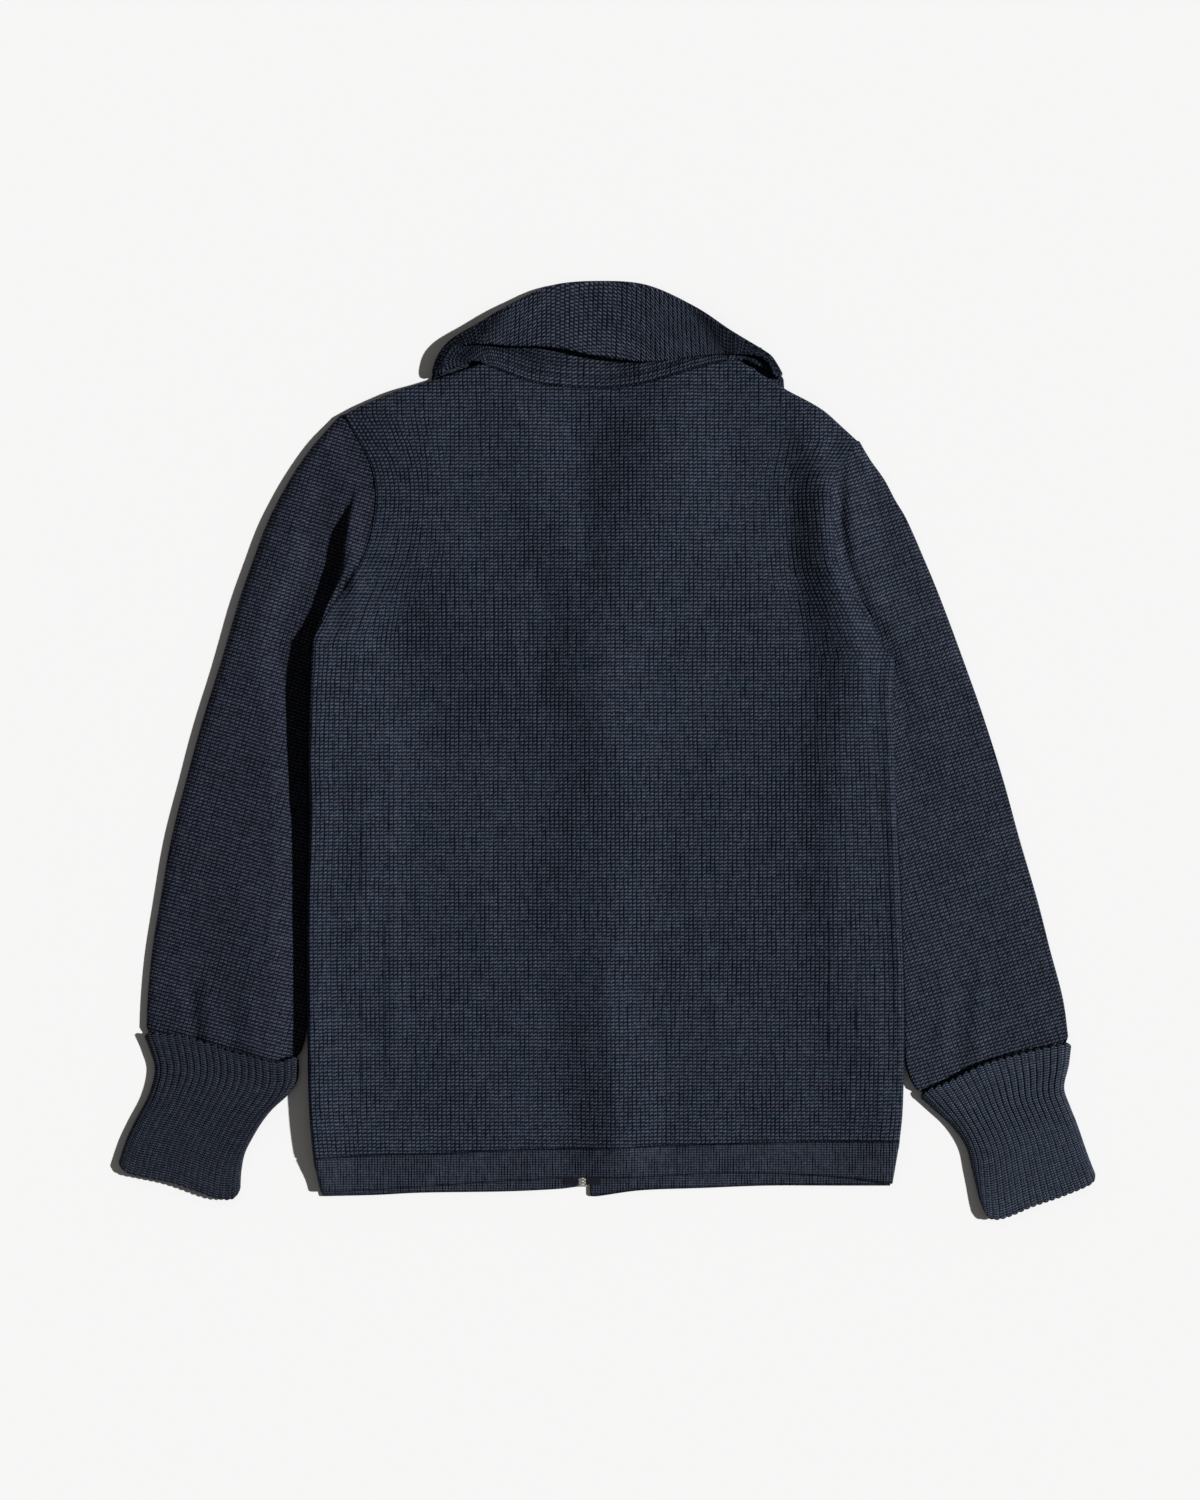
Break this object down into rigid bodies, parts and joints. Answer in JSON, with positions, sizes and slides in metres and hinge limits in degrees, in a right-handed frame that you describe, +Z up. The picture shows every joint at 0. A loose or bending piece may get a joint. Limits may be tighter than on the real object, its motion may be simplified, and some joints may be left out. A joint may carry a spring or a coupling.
{
  "type": "zip cardigan",
  "caption": "Heavy-knit zip cardigan with a folded shawl collar and ribbed cuffs, laid out face down with its sleeves down beside the body.",
  "frame": {"origin": "on the floor, under the centre of the laid-out garment's bounding box", "axes": "+X to the wearer's right, which is the viewer's right, +Y from hem to collar, +Z up out of the back panel"},
  "size_m": [0.832, 0.798, 0.0213],
  "materials": {
    "knit": "matte navy heavy-gauge wool knit",
    "band": "matte navy wool hem band",
    "rib": "matte navy wool rib",
    "tape": "woven polyester zip tape",
    "nickel": "nickel-plated brass, slightly dull"
  },
  "bodies": {
    "cardigan": {"back": "knit", "front_left": "knit", "front_right": "knit", "hem_back": "band", "hem_front_left": "band", "hem_front_right": "band", "sleeve_left": "knit", "sleeve_right": "knit", "cuff_left": "rib", "cuff_right": "rib", "collar": "knit", "zip_tape_left": "tape", "zip_tape_right": "tape", "zip_chain": "nickel", "zip_bottom_box": "nickel", "zip_slider": "nickel"},
    "pull_tab": {"pull_tab": "nickel"}
  },
  "joints": [
    {"name": "pull_tab_hinge", "type": "hinge", "parent": "cardigan", "child": "pull_tab", "pos_m": [-0.021, 0.0405, 0.0059], "axis": [1, 0, 0], "range_deg": [-2, 120]}
  ]
}
